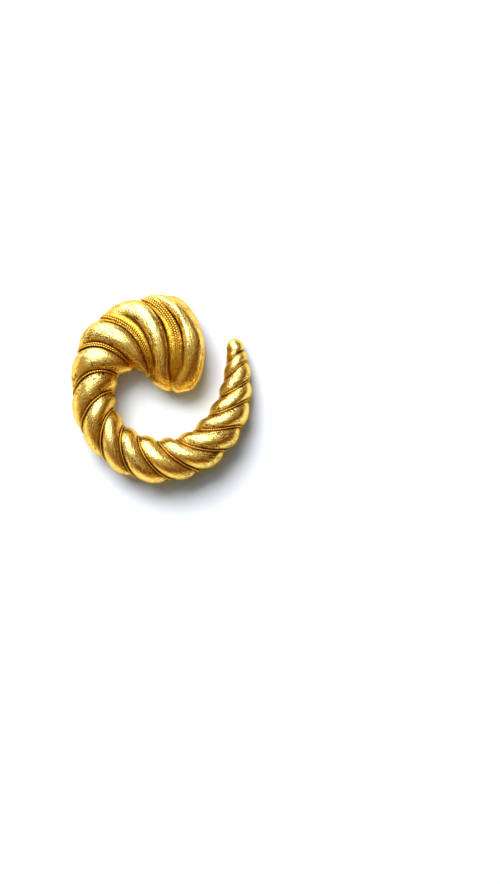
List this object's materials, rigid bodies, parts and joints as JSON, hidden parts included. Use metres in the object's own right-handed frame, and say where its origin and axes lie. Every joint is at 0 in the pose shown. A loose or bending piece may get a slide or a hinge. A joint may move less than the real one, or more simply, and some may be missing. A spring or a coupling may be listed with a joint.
{
  "type": "twisted hoop earring",
  "caption": "Chunky open hoop earring, twisted and tapering from a thick swirled head to a thin smooth tip, with fine beaded wires in its grooves and a flat clip behind the head.",
  "frame": {"origin": "middle of the outline, on the surface that the earring lies on with its front up", "axes": "+Z out of the front, away from the ear; +Y up as worn; +X from the head to the tip"},
  "size_m": [0.0342, 0.0358, 0.0088],
  "materials": {
    "satin_gold": "satin gold plate with fine brush marks and darkened grooves",
    "groove_gold": "finely beaded gold wire, darkened in its hollows",
    "clip_gold": "smooth satin gold plate"
  },
  "bodies": {
    "root": {"hoop": "satin_gold", "head_wire_1": "groove_gold", "head_wire_2": "groove_gold", "head_wire_3": "groove_gold", "groove_wire_1": "groove_gold", "groove_wire_2": "groove_gold", "groove_wire_3": "groove_gold", "ear_clip": "clip_gold"}
  },
  "joints": []
}
